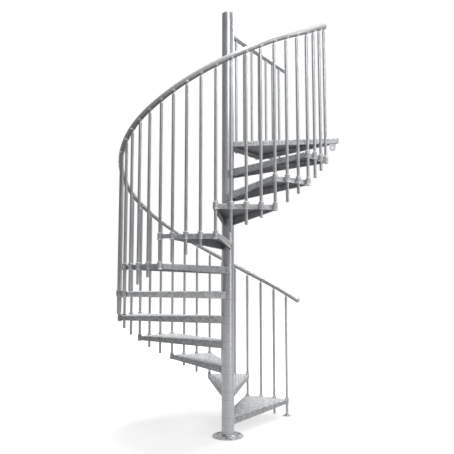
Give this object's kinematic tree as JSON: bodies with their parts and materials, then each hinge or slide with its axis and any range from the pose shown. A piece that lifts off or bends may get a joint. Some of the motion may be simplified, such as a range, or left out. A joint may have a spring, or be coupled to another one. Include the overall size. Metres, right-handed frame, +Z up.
{
  "type": "spiral staircase",
  "caption": "Galvanised steel spiral staircase: a centre column with folded wedge treads, balusters, a helical handrail and a landing.",
  "frame": {"origin": "on the floor under the column: the centre of the base flange's underside", "axes": "+Z up along the column, +X at azimuth 0; the stair climbs anticlockwise seen from above"},
  "size_m": [1.8034, 1.802, 3.5453],
  "materials": {
    "galvanised_sheet": "hot-dip galvanised sheet, spangled, semi-matt",
    "galvanised_tube": "hot-dip galvanised tube, satin",
    "galvanised_fittings": "galvanised fittings, satin"
  },
  "bodies": {
    "root": {"base_flange": "galvanised_tube", "centre_pole": "galvanised_tube", "column_spacers": "galvanised_tube", "column_cap": "galvanised_tube", "tread_01": "galvanised_sheet", "tread_02": "galvanised_sheet", "tread_03": "galvanised_sheet", "tread_04": "galvanised_sheet", "tread_05": "galvanised_sheet", "tread_06": "galvanised_sheet", "tread_07": "galvanised_sheet", "tread_08": "galvanised_sheet", "tread_09": "galvanised_sheet", "tread_10": "galvanised_sheet", "tread_11": "galvanised_sheet", "landing": "galvanised_sheet", "first_baluster": "galvanised_tube", "balusters_01": "galvanised_tube", "balusters_02": "galvanised_tube", "balusters_03": "galvanised_tube", "balusters_04": "galvanised_tube", "balusters_05": "galvanised_tube", "balusters_06": "galvanised_tube", "balusters_07": "galvanised_tube", "balusters_08": "galvanised_tube", "balusters_09": "galvanised_tube", "balusters_10": "galvanised_tube", "balusters_11": "galvanised_tube", "handrail_lower": "galvanised_tube", "handrail_middle": "galvanised_tube", "handrail_upper": "galvanised_tube", "handrail_top": "galvanised_tube", "rail_saddles_lower": "galvanised_fittings", "rail_saddles_upper": "galvanised_fittings", "landing_rail": "galvanised_tube", "landing_balusters": "galvanised_tube", "landing_bar": "galvanised_sheet", "landing_lug": "galvanised_fittings", "link_bar": "galvanised_fittings"}
  },
  "joints": []
}
